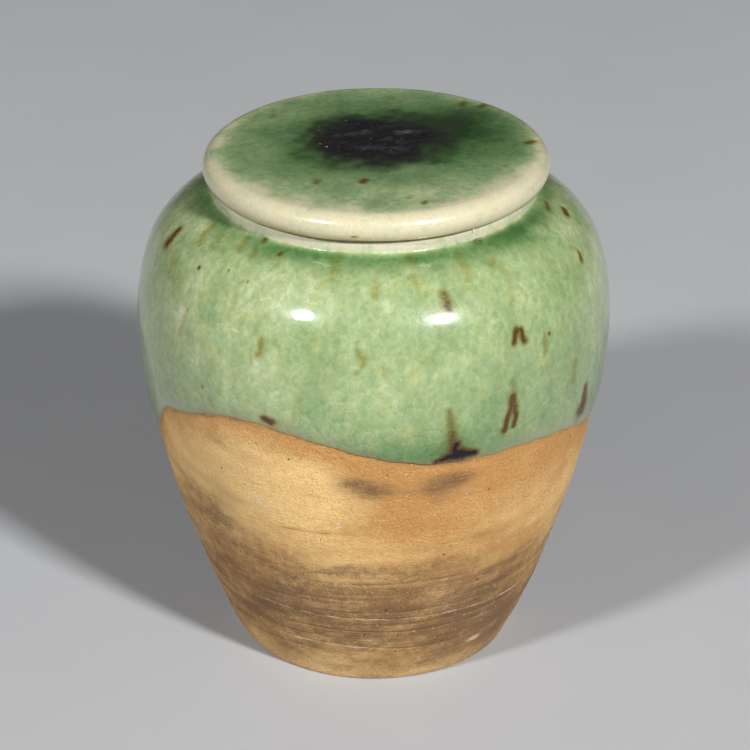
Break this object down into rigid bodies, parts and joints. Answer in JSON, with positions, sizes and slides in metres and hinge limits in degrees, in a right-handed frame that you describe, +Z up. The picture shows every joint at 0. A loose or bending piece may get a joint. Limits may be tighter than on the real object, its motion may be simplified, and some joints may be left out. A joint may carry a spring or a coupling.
{
  "type": "lidded jar",
  "caption": "Small round-shouldered stoneware jar with a short collar and a loose flat disc lid, part glazed.",
  "frame": {"origin": "centre of the flat base, on the turning axis, at the level the jar stands on", "axes": "+Z up the turning axis from base to lid, -Y towards the front view, +X to the right of it"},
  "size_m": [0.1002, 0.1002, 0.1109],
  "materials": {
    "jar_clay": "matt bare stoneware, tan to orange, with turning lines",
    "jar_glaze": "glossy green glaze, crackled, pale where thin",
    "lid_clay": "matt bare stoneware",
    "lid_glaze": "glossy green glaze, crackled, cream at the rim"
  },
  "bodies": {
    "jar": {"jar_body": "jar_clay", "jar_glaze": "jar_glaze"},
    "lid": {"lid_body": "lid_clay", "lid_glaze": "lid_glaze"}
  },
  "joints": [
    {"name": "lid_lift", "type": "slide", "parent": "jar", "child": "lid", "axis": [0, 0, 1], "range_m": [0, 0.1]}
  ]
}
